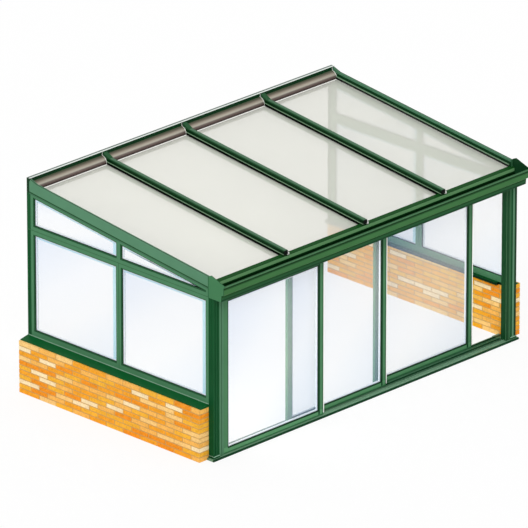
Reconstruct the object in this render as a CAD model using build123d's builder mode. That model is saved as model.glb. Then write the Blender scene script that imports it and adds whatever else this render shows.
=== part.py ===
from build123d import *
import math
import os

# Lean-to veranda with dwarf brick walls, glazed gables and a three-leaf sliding front.
# All sizes are in millimetres. X runs along the front, +Y points to the house, +Z is up.
# The origin lies on the ground under the middle of the whole plan.

# Overall size
width = 5300.0                 # over the outer faces of the two gable frames
depth = 3184.0                 # from the front of the corner posts to the house wall
ridge_height = 2775.0          # top of the wall plate
roof_pitch = 6.85              # degrees
gutter_reach = 200.0           # how far the gutter's lip stands in front of the posts
roofing_drop = 137.9           # from the wall plate's top down to the roofing at its front
head_drop = 155.0              # from the roofing, carried to the post fronts, to the door head

# Dwarf walls and window sills
wall_height = 682.0
wall_thickness = 220.0
wall_proud = 160.0             # the wall's outer face stands this far outside the frame
sill_thickness = 35.0
sill_edge = 8.0                # height left at the sloping sill's outer edge
sill_setback = 26.0            # from the sill's outer edge to the wall's outer face
sill_nosing = 50.0             # how far the sill stands inside the wall, behind the leaves

# Window frames
frame_depth = 60.0
front_stile = 55.0
lower_mullion = 53.0           # each of the two stiles that meet
mullion_offset = 6.0           # their joint, behind the middle of the windows
upper_mullion = 90.0
rear_stile = 60.0
bottom_rail = 83.0
transom_rail = 64.0            # one below and one above the joint
transom_rise = 4.0             # the joint of lower and upper windows, above the door head
head_rail = 35.0
glass_thickness = 24.0
glass_setback = 18.0           # from the frame's outer face to the pane
rebate = 12.0                  # how far a pane reaches into its frame
bead_width = 14.0              # the sunk glazing bead around each pane
bead_step = 7.0

# Posts
post_width = 100.0
post_depth = 82.0
post_groove = 10.0
shoe_proud = 7.0
shoe_height = 27.0
back_post_depth = 64.0
wall_plate_depth = 45.0
wall_plate_height = 188.0
wall_plate_lip = 10.0
ledger_height = 250.0          # the wall plate between the gables, which takes the rafters

# Roof
bays = 4
bay = 1372.0                   # between two rafters; the two end bays take what is left
panel_thickness = 24.0
panel_gap = 10.0               # between two panels, under a cap
panel_clearance = 2.0
rafter_width = 60.0
rafter_depth = 45.0
rafter_web = 34.0
rafter_flange = 14.0
gable_body = 41.0
fascia_height = 132.0
fascia_thickness = 30.0
fascia_rise = 101.0            # how far the fascia stands above the roofing
ledge_width = 16.0             # the fascia's inner ledge, which holds the roofing down
gasket_width = 54.0
gasket_height = 30.0
flange_width = 74.0
flange_thickness = 6.0
cap_width = 64.0
cap_height = 50.0
cap_chamfer = 9.0
flare_length = 120.0          # the raised head of a cap, down from the wall plate
flare_top_drop = 12.0          # below the top of the wall plate
closure_depth = 77.0
closure_bulge = 24.0
closure_drop = 50.0           # below the top of the wall plate
closure_clearance = 1.0

# Eaves beam and gutter
nose_setback = 50.0            # from the post fronts to the beam's nose, which holds the roofing
nose_thickness = 18.0
nose_lap = 37.0                # how far the nose reaches over the roofing
nose_rise = 13.0               # thickness of that lap at its back edge
gutter_wall = 5.0
gutter_floor = 82.0            # heights of the gutter above the door head
gutter_back = 110.0
bead_height = 95.0
cove_height = 180.0
lip_height = 220.0
lip_face = 14.0
gutter_face_reach = 178.0      # how far the gutter's face and foot stand in front of the posts
gutter_foot_reach = 136.0
bead_return = 8.0
cove_sagitta = 6.0
end_plate = 8.0
end_rise = 7.0                 # the end plate's back edge above the fascia
apex_rise = 25.0
apex_setback = 57.0
apex_radius = 14.0

# Sliding front
sill_overhang = 30.0
track_depth = 266.0
track_height = 25.0
track_chamfer = 7.0
channel_depth = 9.0            # the sunk channels beside the rails
channel_width = 34.0
rail_pitch = 78.0
first_rail = 30.0              # from the post fronts to the outer leaf's rail
rail_thickness = 6.0
rail_rise = 12.0
jamb_width = 75.0
jamb_groove = 10.0
closing_stop = 10.0            # the strip on the gable that the inner leaves close against
leaf_depth = 40.0
leaf_stile = 85.0
leaf_bottom_rail = 70.0
leaf_top_rail = 85.0
leaf_overlap = 90.5            # of two neighbouring leaves when shut
leaf_lift = 5.0                # between the sill and a leaf
leaf_head_gap = 8.0
leaf_clearance = 5.0           # between a leaf and what it slides up to
leaf_groove = 16.0
leaf_glass_setback = 10.0
roller_radius = 14.0
roller_width = 10.0
roller_inset = 160.0
roller_pin = 4.0
seat_clearance = 0.3
head_plate = 12.0
head_fin = 4.0
head_fin_height = 62.0
strip_width = 26.0             # the pale seal down the right edge of each leaf
strip_thickness = 12.0
middle_push = 472.0            # how far the two inner leaves stand open
inner_push = 519.0

# Worked-out places
half = width / 2
pitch = math.tan(math.radians(roof_pitch))
front = -(depth - gutter_reach) / 2            # Y of the post fronts
wall_line = front + depth
wall_plate_front = wall_line - wall_plate_depth
back_post_front = wall_line - back_post_depth
windows_start = front + post_depth
mullion_line = (windows_start + back_post_front) / 2 + mullion_offset
glass_height_at_front = ridge_height - roofing_drop - (depth - wall_plate_depth) * pitch
opening_head = glass_height_at_front - head_drop
transom_height = opening_head + transom_rise
sill_top = wall_height + sill_thickness
inner_half = half - frame_depth
wall_inner_half = half + wall_proud - wall_thickness
rafter_lines = [bay * (i - bays / 2) for i in range(1, bays)]
roof_edge = half - fascia_thickness - panel_clearance
fascia_bottom = fascia_rise - fascia_height
panel_drop = panel_thickness / math.cos(math.radians(roof_pitch))
body_bottom = -panel_drop - gable_body
nose_front = front + nose_setback
nose_back = nose_front + nose_thickness
closure_toe = wall_plate_front - closure_depth
flare_foot = wall_plate_front - flare_length
flare_back = wall_plate_front - wall_plate_lip
rails = [front + first_rail + rail_pitch * i for i in range(3)]
track_front = front - sill_overhang
track_back = track_front + track_depth


def roof_line(y, rise=0.0):
    """Height of the roofing's top face at y, plus a rise."""
    return glass_height_at_front + (y - front) * pitch + rise


def band(start, end, low, high):
    """A strip parallel to the roof, from one y to another and from one rise to another."""
    Polygon(
        (start, roof_line(start, low)),
        (end, roof_line(end, low)),
        (end, roof_line(end, high)),
        (start, roof_line(start, high)),
        align=None,
    )


def box_outline(y0, y1, z0, z1):
    return [(y0, z0), (y1, z0), (y1, z1), (y0, z1)]


os.makedirs("parts", exist_ok=True)


def save(part, name):
    part.label = name
    export_step(part, f"parts/{name}.step")


def both_sides(left_part, name):
    """Write a gable's piece for the left side and its mirror image for the right."""
    save(left_part, f"left_{name}")
    save(mirror(left_part, about=Plane.YZ), f"right_{name}")


# Gables, modelled on the left

with BuildPart() as brick_wall:
    with BuildSketch(Plane.YZ.offset(-half - wall_proud)):
        Polygon(*box_outline(windows_start, wall_line, 0, wall_height), align=None)
    extrude(amount=wall_thickness)
both_sides(brick_wall.part, "brick_wall")

with BuildPart() as window_sill:
    with BuildSketch(Plane.XZ.offset(-wall_line)):
        Polygon(
            (-wall_inner_half, wall_height),
            (-wall_inner_half, sill_top),
            (-half, sill_top),
            (-half - wall_proud + sill_setback, wall_height + sill_edge),
            (-half - wall_proud + sill_setback, wall_height),
            align=None,
        )
    extrude(amount=wall_line - windows_start)
    with BuildSketch(Plane.XZ.offset(-wall_line)):
        Polygon(
            *box_outline(-wall_inner_half, -wall_inner_half + sill_nosing, wall_height, sill_top),
            align=None,
        )
    extrude(amount=wall_line - track_back)
both_sides(window_sill.part, "window_sill")


def grown(opening, amount):
    """An opening's outline grown all round, with long tips cut off at the same distance."""
    low = min(y for y, z in opening)
    high = max(y for y, z in opening)
    with BuildSketch() as outline:
        Polygon(*opening, align=None)
        offset(amount=amount, kind=Kind.INTERSECTION)
        with Locations(((low + high) / 2, ridge_height / 2)):
            Rectangle(high - low + 2 * amount, ridge_height, mode=Mode.INTERSECT)
    return outline.sketch


def window_ring(outline, openings):
    """A window frame: an outline with a beaded and rebated opening for each pane."""
    with BuildPart() as ring:
        with BuildSketch(Plane.YZ.offset(-half)):
            Polygon(*outline, align=None)
            for opening in openings:
                Polygon(*opening, align=None, mode=Mode.SUBTRACT)
        extrude(amount=frame_depth)
        for opening in openings:
            with BuildSketch(Plane.YZ.offset(-half)):
                add(grown(opening, bead_width))
            extrude(amount=bead_step, mode=Mode.SUBTRACT)
            with BuildSketch(Plane.YZ.offset(-half + glass_setback)):
                add(grown(opening, rebate))
            extrude(amount=glass_thickness, mode=Mode.SUBTRACT)
    return ring.part


def pane(opening):
    """A pane that reaches into its frame's rebate."""
    with BuildPart() as sheet:
        with BuildSketch(Plane.YZ.offset(-half + glass_setback)):
            add(grown(opening, rebate))
        extrude(amount=glass_thickness)
    return sheet.part


lower_front_opening = box_outline(
    windows_start + front_stile, mullion_line - lower_mullion,
    sill_top + bottom_rail, transom_height - transom_rail,
)
lower_rear_opening = box_outline(
    mullion_line + lower_mullion, back_post_front - rear_stile,
    sill_top + bottom_rail, transom_height - transom_rail,
)
upper_sill = transom_height + transom_rail
opening_rise = body_bottom - head_rail
upper_front_tip = max(
    windows_start + front_stile,
    front + (upper_sill - glass_height_at_front - opening_rise) / pitch,
)
upper_front_end = mullion_line - upper_mullion / 2
upper_rear_start = mullion_line + upper_mullion / 2
upper_rear_end = back_post_front - rear_stile
upper_front_opening = [
    (upper_front_tip, upper_sill),
    (upper_front_end, upper_sill),
    (upper_front_end, roof_line(upper_front_end, opening_rise)),
]
upper_rear_opening = [
    (upper_rear_start, upper_sill),
    (upper_rear_end, upper_sill),
    (upper_rear_end, roof_line(upper_rear_end, opening_rise)),
    (upper_rear_start, roof_line(upper_rear_start, opening_rise)),
]
upper_outline = [
    (windows_start, transom_height),
    (back_post_front, transom_height),
    (back_post_front, roof_line(back_post_front, body_bottom)),
    (windows_start, roof_line(windows_start, body_bottom)),
]

both_sides(
    window_ring(box_outline(windows_start, mullion_line, sill_top, transom_height), [lower_front_opening]),
    "lower_front_window",
)
both_sides(
    window_ring(box_outline(mullion_line, back_post_front, sill_top, transom_height), [lower_rear_opening]),
    "lower_rear_window",
)
both_sides(window_ring(upper_outline, [upper_front_opening, upper_rear_opening]), "upper_window")
both_sides(Compound([pane(lower_front_opening), pane(lower_rear_opening)]), "lower_glass")
both_sides(Compound([pane(upper_front_opening), pane(upper_rear_opening)]), "upper_glass")

with BuildPart() as back_post:
    with BuildSketch(Plane.YZ.offset(-half)):
        Polygon(
            (back_post_front, sill_top),
            (wall_line, sill_top),
            (wall_line, ridge_height - wall_plate_height),
            (wall_plate_front, ridge_height - wall_plate_height),
            (wall_plate_front, roof_line(wall_plate_front, body_bottom)),
            (back_post_front, roof_line(back_post_front, body_bottom)),
            align=None,
        )
    extrude(amount=frame_depth)
    with BuildSketch(Plane.YZ.offset(-half)):
        with Locations(((back_post_front + wall_line) / 2, (sill_top + transom_height) / 2)):
            Rectangle(post_groove, transom_height - sill_top)
    extrude(amount=post_groove, mode=Mode.SUBTRACT)
both_sides(back_post.part, "back_post")

# The gable rafter is an angle: its body carries the roofing, its tall outer leg covers
# the roofing's edge, and a ledge inside that leg holds the roofing down.
with BuildPart() as gable_rafter:
    with BuildSketch(Plane.YZ.offset(-half)):
        band(windows_start, wall_plate_front, body_bottom, -panel_drop)
    extrude(amount=frame_depth)
    with BuildSketch(Plane.YZ.offset(-half)):
        band(windows_start, wall_plate_front, fascia_bottom, fascia_rise)
        Polygon(
            (flare_back, roof_line(flare_back)),
            (flare_back, ridge_height - flare_top_drop),
            (flare_foot, roof_line(flare_foot, fascia_rise)),
            (flare_foot, roof_line(flare_foot)),
            align=None,
        )
    extrude(amount=fascia_thickness)
    with BuildSketch(Plane.YZ.offset(-half)):
        band(
            nose_back + nose_lap + panel_clearance, closure_toe - closure_clearance,
            gasket_height, gasket_height + flange_thickness,
        )
    extrude(amount=fascia_thickness + ledge_width)
both_sides(gable_rafter.part, "gable_rafter")

with BuildPart() as corner_post:
    with BuildSketch(Plane.XY.offset(track_height)):
        with Locations((-half + post_width / 2, front + post_depth / 2)):
            Rectangle(post_width, post_depth)
        with Locations(
            (-half, front + post_depth * 0.3),
            (-half, front + post_depth * 0.7),
            (-half + post_width * 0.3, front),
            (-half + post_width * 0.75, front),
        ):
            Rectangle(post_groove, post_groove, mode=Mode.SUBTRACT)
    extrude(amount=opening_head - track_height)
    with BuildSketch(Plane.XY.offset(track_height)):
        with Locations((-half + (post_width - shoe_proud) / 2, front + (post_depth - shoe_proud) / 2)):
            Rectangle(post_width + shoe_proud, post_depth + shoe_proud)
    extrude(amount=shoe_height)
both_sides(corner_post.part, "corner_post")

# Sliding front

with BuildPart() as sill_track:
    with BuildSketch(Plane.YZ.offset(-half - sill_overhang)):
        Polygon(
            (track_front, 0),
            (windows_start, 0),
            (windows_start, track_height),
            (track_front + track_chamfer, track_height),
            (track_front, track_height - track_chamfer),
            align=None,
        )
    extrude(amount=width + 2 * sill_overhang)
    with BuildSketch(Plane.YZ.offset(-wall_inner_half)):
        Polygon(*box_outline(windows_start, track_back, 0, track_height), align=None)
    extrude(amount=2 * wall_inner_half)
    with BuildSketch(Plane.YZ.offset(-half + post_width + jamb_width)):
        for y in rails:
            with Locations((y + rail_pitch / 2, track_height - channel_depth / 2)):
                Rectangle(channel_width, channel_depth)
    extrude(amount=width - 2 * post_width - 2 * jamb_width, mode=Mode.SUBTRACT)
    with BuildSketch(Plane.YZ.offset(-half + post_width + jamb_width)):
        for y in rails:
            with Locations((y, track_height + rail_rise / 2)):
                Rectangle(rail_thickness, rail_rise)
    extrude(amount=width - 2 * post_width - 2 * jamb_width)
save(sill_track.part, "sill_track")

# The head track holds each leaf's top between two fins.
fin_offset = leaf_depth / 2 + leaf_clearance + head_fin / 2
with BuildPart() as head_track:
    with BuildSketch(Plane.YZ.offset(-half + post_width)):
        Polygon(*box_outline(front, windows_start, opening_head - head_plate, opening_head), align=None)
        for y in rails:
            with Locations((y, opening_head - head_fin_height / 2)):
                with Locations((-fin_offset, 0), (fin_offset, 0)):
                    Rectangle(head_fin, head_fin_height)
    extrude(amount=width - 2 * post_width)
    with BuildSketch(Plane.YZ.offset(-inner_half)):
        Polygon(*box_outline(windows_start, track_back, opening_head - head_plate, opening_head), align=None)
    extrude(amount=2 * inner_half)
save(head_track.part, "head_track")

# The outer leaf closes against the jamb, the two others against the strip behind it.
with BuildPart() as jamb:
    with BuildSketch(Plane.XY.offset(track_height)):
        with Locations((-half + post_width + jamb_width / 2, front + post_depth / 2)):
            Rectangle(jamb_width, post_depth)
        with Locations((-half + post_width + jamb_width / 2, front)):
            Rectangle(jamb_groove, 2 * jamb_groove, mode=Mode.SUBTRACT)
    extrude(amount=opening_head - head_fin_height - track_height)
    with BuildSketch(Plane.XY.offset(track_height)):
        with Locations((-inner_half + closing_stop / 2, (windows_start + rails[-1]) / 2)):
            Rectangle(closing_stop, rails[-1] - windows_start)
    extrude(amount=opening_head - head_plate - track_height)
both_sides(Compound(jamb.part.solids()), "jamb")

leaf_bottom = track_height + leaf_lift
leaf_top = opening_head - head_plate - leaf_head_gap
strip_bottom = track_height + rail_rise + leaf_lift
first_leaf = -half + post_width + jamb_width + leaf_clearance
last_leaf_end = inner_half - closing_stop - leaf_clearance
leaf_width = (last_leaf_end - first_leaf + 2 * leaf_overlap) / 3
leaf_step = leaf_width - leaf_overlap
frame_width = leaf_width - strip_width
opening_width = frame_width - 2 * leaf_stile
opening_low = leaf_bottom + leaf_bottom_rail
opening_high = leaf_top - leaf_top_rail
opening_height = opening_high - opening_low
roller_z = track_height + rail_rise + seat_clearance + roller_radius
leaf_places = {
    "outer": first_leaf,
    "middle": first_leaf + leaf_step - middle_push,
    "inner": first_leaf + 2 * leaf_step - inner_push,
}
for rail_y, (leaf, left) in zip(rails, leaf_places.items()):
    face_y = rail_y - leaf_depth / 2
    glass_y = face_y + leaf_glass_setback
    opening_centre = (left + frame_width / 2, (opening_low + opening_high) / 2)
    rollers = [(left + inset, roller_z) for inset in (roller_inset, frame_width - roller_inset)]
    with BuildPart() as leaf_frame:
        with BuildSketch(Plane.XZ.offset(-face_y - leaf_depth)):
            with Locations((left + frame_width / 2, (leaf_bottom + leaf_top) / 2)):
                Rectangle(frame_width, leaf_top - leaf_bottom)
            with Locations(opening_centre):
                Rectangle(opening_width, opening_height, mode=Mode.SUBTRACT)
        extrude(amount=leaf_depth)
        with BuildSketch(Plane.XZ.offset(-face_y - bead_step)):
            with Locations(opening_centre):
                Rectangle(opening_width + 2 * bead_width, opening_height + 2 * bead_width)
        extrude(amount=bead_step, mode=Mode.SUBTRACT)
        with BuildSketch(Plane.XZ.offset(-glass_y - glass_thickness)):
            with Locations(opening_centre):
                Rectangle(opening_width + 2 * rebate, opening_height + 2 * rebate)
        extrude(amount=glass_thickness, mode=Mode.SUBTRACT)
        with BuildSketch(Plane.YZ.offset(left)):
            with Locations((rail_y, leaf_bottom + leaf_groove / 2)):
                Rectangle(leaf_groove, leaf_groove)
        extrude(amount=frame_width, mode=Mode.SUBTRACT)
        with BuildSketch(Plane.XZ.offset(-rail_y - roller_width / 2)):
            with Locations(*rollers):
                Circle(roller_radius)
        extrude(amount=roller_width)
        with BuildSketch(Plane.XZ.offset(-face_y - leaf_depth)):
            with Locations(*rollers):
                Circle(roller_pin)
        extrude(amount=leaf_depth)
    save(leaf_frame.part, f"{leaf}_leaf_frame")

    with BuildPart() as leaf_glass:
        with BuildSketch(Plane.XZ.offset(-glass_y - glass_thickness)):
            with Locations(opening_centre):
                Rectangle(opening_width + 2 * rebate, opening_height + 2 * rebate)
        extrude(amount=glass_thickness)
    save(leaf_glass.part, f"{leaf}_leaf_glass")

    with BuildPart() as seal_strip:
        with BuildSketch(Plane.XZ.offset(-rail_y - strip_thickness / 2)):
            with Locations((left + frame_width + strip_width / 2, (strip_bottom + leaf_top) / 2)):
                Rectangle(strip_width, leaf_top - strip_bottom)
        extrude(amount=strip_thickness)
    save(seal_strip.part, f"{leaf}_seal_strip")

# Eaves beam and gutter

# The beam's nose stands before the roofing's lower edge and laps over it.
nose_lap_end = nose_back + nose_lap
nose_top_front = roof_line(nose_front, panel_clearance)
nose_fall = (roof_line(nose_lap_end, panel_clearance / 2 + nose_rise) - nose_top_front)
nose_fall /= nose_lap_end - nose_front
nose_top_back = nose_top_front + nose_fall * (windows_start - nose_front)
with BuildPart() as eaves_beam:
    with BuildSketch(Plane.YZ.offset(-half)):
        Polygon(
            (front, opening_head),
            (windows_start, opening_head),
            (windows_start, roof_line(windows_start, -panel_drop)),
            (nose_back, roof_line(nose_back, -panel_drop)),
            (nose_back, roof_line(nose_back, panel_clearance / 2)),
            (windows_start, roof_line(windows_start, panel_clearance / 2)),
            (windows_start, nose_top_back),
            (nose_front, nose_top_front),
            (nose_front, opening_head + gutter_floor),
            (front, opening_head + gutter_floor),
            align=None,
        )
    extrude(amount=width)
    lap_inset = fascia_thickness + panel_clearance
    with BuildSketch(Plane.YZ.offset(-half + lap_inset)):
        Polygon(
            (windows_start, roof_line(windows_start, panel_clearance / 2)),
            (nose_lap_end, roof_line(nose_lap_end, panel_clearance / 2)),
            (nose_lap_end, roof_line(nose_lap_end, panel_clearance / 2 + nose_rise)),
            (windows_start, nose_top_back),
            align=None,
        )
    extrude(amount=width - 2 * lap_inset)
save(eaves_beam.part, "eaves_beam")


def gutter_front(inset):
    """The gutter's front from its lip down to its bead, moved in by an inset."""
    lip_y = front - gutter_reach + inset
    face_y = front - gutter_face_reach + inset
    lip_low = (lip_y, opening_head + lip_height - lip_face)
    cove = (face_y, opening_head + cove_height)
    Line((lip_y, opening_head + lip_height), lip_low)
    SagittaArc(lip_low, cove, cove_sagitta)
    Line(cove, (face_y, opening_head + bead_height))


with BuildPart() as gutter:
    with BuildSketch(Plane.YZ.offset(-half)):
        with BuildLine():
            gutter_front(0)
            bead = (front - gutter_face_reach, opening_head + bead_height)
            step = (front - gutter_foot_reach - bead_return, opening_head + gutter_floor)
            SagittaArc(bead, step, -cove_sagitta)
            Polyline(
                step,
                (front - gutter_foot_reach, opening_head),
                (front, opening_head),
                (front, opening_head + gutter_floor),
                (nose_front, opening_head + gutter_floor),
                (nose_front, opening_head + gutter_back),
                (nose_front - gutter_wall, opening_head + gutter_back),
                (nose_front - gutter_wall, opening_head + lip_height),
                (front - gutter_reach, opening_head + lip_height),
            )
        make_face()
        with BuildLine():
            gutter_front(gutter_wall)
            floor = opening_head + gutter_floor + gutter_wall
            Polyline(
                (front - gutter_face_reach + gutter_wall, opening_head + bead_height),
                (front - gutter_foot_reach, floor),
                (nose_front - gutter_wall, floor),
                (nose_front - gutter_wall, opening_head + lip_height),
                (front - gutter_reach + gutter_wall, opening_head + lip_height),
            )
        make_face(mode=Mode.SUBTRACT)
    extrude(amount=width)
save(gutter.part, "gutter")

with BuildPart() as gutter_end:
    with BuildSketch(Plane.YZ.offset(-half - end_plate)) as end_outline:
        with BuildLine():
            gutter_front(0)
            back_top = (windows_start, roof_line(windows_start, fascia_rise + end_rise))
            Polyline(
                (front - gutter_face_reach, opening_head + bead_height),
                (front - gutter_foot_reach - bead_return, opening_head + gutter_floor),
                (front - gutter_foot_reach, opening_head),
                (windows_start, opening_head),
                back_top,
                (windows_start - apex_setback, back_top[1] + apex_rise),
                (front - gutter_reach, opening_head + lip_height),
            )
        make_face()
        fillet(end_outline.vertices().sort_by(Axis.Y)[-1], radius=apex_radius)
    extrude(amount=end_plate)
both_sides(gutter_end.part, "gutter_end")

# Roof

with BuildPart() as wall_plate:
    with BuildSketch(Plane.YZ.offset(-half)):
        Polygon(
            *box_outline(wall_plate_front, wall_line, ridge_height - wall_plate_height, ridge_height),
            align=None,
        )
        Polygon(
            *box_outline(
                wall_plate_front - wall_plate_lip, wall_plate_front,
                ridge_height - wall_plate_lip / 2, ridge_height,
            ),
            align=None,
        )
    extrude(amount=width)
    with BuildSketch(Plane.YZ.offset(-inner_half)):
        Polygon(
            *box_outline(wall_plate_front, wall_line, ridge_height - ledger_height, ridge_height),
            align=None,
        )
    extrude(amount=2 * inner_half)
save(wall_plate.part, "wall_plate")

# A rafter is a double T: a web between two flanges.
rafter_layers = [
    (0, rafter_flange, rafter_width),
    (rafter_flange, rafter_depth - rafter_flange, rafter_web),
    (rafter_depth - rafter_flange, rafter_depth, rafter_width),
]
for number, x in enumerate(rafter_lines, start=1):
    with BuildPart() as rafter:
        for high, low, layer_width in rafter_layers:
            with BuildSketch(Plane.YZ.offset(x - layer_width / 2)):
                band(windows_start, wall_plate_front, -panel_drop - low, -panel_drop - high)
            extrude(amount=layer_width)
    save(rafter.part, f"rafter_{number}")


def bay_spans(inset):
    """Both ends of what fills each bay, held off the rafter lines by an inset."""
    lefts = [-roof_edge] + [x + inset for x in rafter_lines]
    rights = [x - inset for x in rafter_lines] + [roof_edge]
    return list(zip(lefts, rights))


panels = []
for left, right in bay_spans(panel_gap / 2):
    with BuildPart() as panel:
        with BuildSketch(Plane.YZ.offset(left)):
            band(nose_back + panel_clearance, wall_plate_front - panel_clearance, -panel_drop, 0)
        extrude(amount=right - left)
    panels.append(panel.part)
save(Compound(panels), "roof_panels")

slant = math.cos(math.radians(roof_pitch))
cap_run = (wall_plate_front - nose_front) / slant
gasket_run = (wall_plate_front - nose_lap_end - panel_clearance) / slant
cap_base = gasket_height + flange_thickness
cap_rise = (cap_base + cap_height) / slant
caps = []
for x in rafter_lines:
    head = Plane(
        origin=(x, wall_plate_front, roof_line(wall_plate_front)),
        x_dir=(1, 0, 0), z_dir=(0, -1, -pitch),
    )
    with BuildPart() as cap:
        with BuildSketch(head):
            with Locations((0, gasket_height / 2)):
                Rectangle(gasket_width, gasket_height)
        extrude(amount=gasket_run)
        with BuildSketch(head):
            with Locations((0, gasket_height + flange_thickness / 2)):
                Rectangle(flange_width, flange_thickness)
            Polygon(
                (-cap_width / 2, cap_base),
                (cap_width / 2, cap_base),
                (cap_width / 2, cap_base + cap_height - cap_chamfer),
                (cap_width / 2 - cap_chamfer, cap_base + cap_height),
                (-cap_width / 2 + cap_chamfer, cap_base + cap_height),
                (-cap_width / 2, cap_base + cap_height - cap_chamfer),
                align=None,
            )
        extrude(amount=cap_run)
        with BuildSketch(Plane.YZ.offset(x - cap_width / 2)):
            Polygon(
                (flare_back, roof_line(flare_back, cap_base)),
                (flare_back, ridge_height - flare_top_drop),
                (flare_foot, roof_line(flare_foot, cap_rise)),
                (flare_foot, roof_line(flare_foot, cap_base)),
                align=None,
            )
        extrude(amount=cap_width)
    caps.append(cap.part)
save(Compound(caps), "rafter_caps")

# The closure is a rounded filler along the wall plate, from one cap or fascia to the next.
closures = []
for left, right in bay_spans(flange_width / 2 + closure_clearance):
    with BuildPart() as closure:
        with BuildSketch(Plane.YZ.offset(left)):
            with BuildLine():
                top = (wall_plate_front, ridge_height - closure_drop)
                foot = (closure_toe, roof_line(closure_toe, seat_clearance))
                heel = (wall_plate_front, roof_line(wall_plate_front, seat_clearance))
                SagittaArc(top, foot, -closure_bulge)
                Polyline(foot, heel, top)
            make_face()
        extrude(amount=right - left)
    closures.append(closure.part)
save(Compound(closures), "ridge_closure")
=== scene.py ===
"""The finish of a lean-to veranda: painted frames, brick walls, double glazing and an opal sheet roof."""

import math
import random

import bmesh
import bpy
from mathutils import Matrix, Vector
from mathutils.geometry import convex_hull_2d


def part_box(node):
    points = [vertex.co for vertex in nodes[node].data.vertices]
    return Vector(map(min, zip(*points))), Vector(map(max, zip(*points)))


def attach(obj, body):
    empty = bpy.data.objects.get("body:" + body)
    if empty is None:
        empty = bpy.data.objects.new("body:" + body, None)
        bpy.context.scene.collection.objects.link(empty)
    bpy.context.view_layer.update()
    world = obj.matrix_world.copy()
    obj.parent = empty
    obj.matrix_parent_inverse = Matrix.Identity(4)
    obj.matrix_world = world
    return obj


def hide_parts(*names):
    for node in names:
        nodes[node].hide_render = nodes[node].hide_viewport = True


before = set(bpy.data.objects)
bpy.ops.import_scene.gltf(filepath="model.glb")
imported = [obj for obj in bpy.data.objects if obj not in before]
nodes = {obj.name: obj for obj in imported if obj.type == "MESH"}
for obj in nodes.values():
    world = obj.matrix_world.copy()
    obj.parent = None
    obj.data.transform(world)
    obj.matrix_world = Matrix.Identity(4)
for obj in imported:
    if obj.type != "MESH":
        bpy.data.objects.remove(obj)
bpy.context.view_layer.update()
scene = bpy.context.scene

X, Y, Z = range(3)
MM = 0.001
GABLES = ("left", "right")
LEAVES = ("outer", "middle", "inner")

# The photograph's view: from the front left, a little above, with a very long lens
CAMERA_AZIMUTH = math.radians(45.49)
CAMERA_ELEVATION = math.radians(22.35)
CAMERA_DISTANCE = 117.404
CAMERA_AIM = Vector((-0.0709, 0.1960, 1.3161))
CAMERA_LENS = 653.8
CAMERA_REACH = 1000
SENSOR = 36.0

# Sizes of the profiles, from the part's source
ROOF_PITCH = math.tan(math.radians(6.85))
FRAME_DEPTH = 60 * MM
REBATE = 12 * MM                # how far a pane reaches into its frame
BEAD_STEP = 7 * MM              # how deep a window's glazing bead lies
POST_WIDTH = 100 * MM
SHOE_PROUD = 7 * MM
SHOE_TOP = 52 * MM              # above the ground
LEAF_STILE = 85 * MM
PANEL_CLEARANCE = 2 * MM
FASCIA_FOOT = -31 * MM          # the foot of a fascia's outer leg, from the roofing
LEDGE_WIDTH = 16 * MM
FLANGE_FOOT = 30 * MM           # the caps' flanges and the fascias' ledges, from the roofing
FLANGE_TOP = 36 * MM
CAP_GASKET = 27 * MM            # half the width of the gasket under a cap

# Places in the frame
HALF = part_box("gutter")[1][X]
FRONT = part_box("left_corner_post")[0][Y] + SHOE_PROUD
WALL_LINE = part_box("wall_plate")[1][Y]
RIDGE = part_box("wall_plate")[1][Z]
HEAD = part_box("gutter")[0][Z]
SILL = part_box("left_window_sill")[1][Z]
ROOF_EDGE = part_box("roof_panels")[1]
FASCIA_INSIDE = ROOF_EDGE[X] + PANEL_CLEARANCE
LEDGE = FASCIA_INSIDE - LEDGE_WIDTH
CLOSURE_LOW, CLOSURE_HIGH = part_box("ridge_closure")


def roof_height(y, rise=0.0):
    """Height of the roofing's top face at y, plus a rise."""
    return ROOF_EDGE[Z] + (y - ROOF_EDGE[Y]) * ROOF_PITCH + rise


# Materials


def linear(red, green, blue):
    """A colour given as it looks on screen, 0 to 255, in the linear values that nodes take."""
    def channel(value):
        value /= 255
        return value / 12.92 if value <= 0.04045 else ((value + 0.055) / 1.055) ** 2.4
    return (channel(red), channel(green), channel(blue), 1.0)


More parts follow.
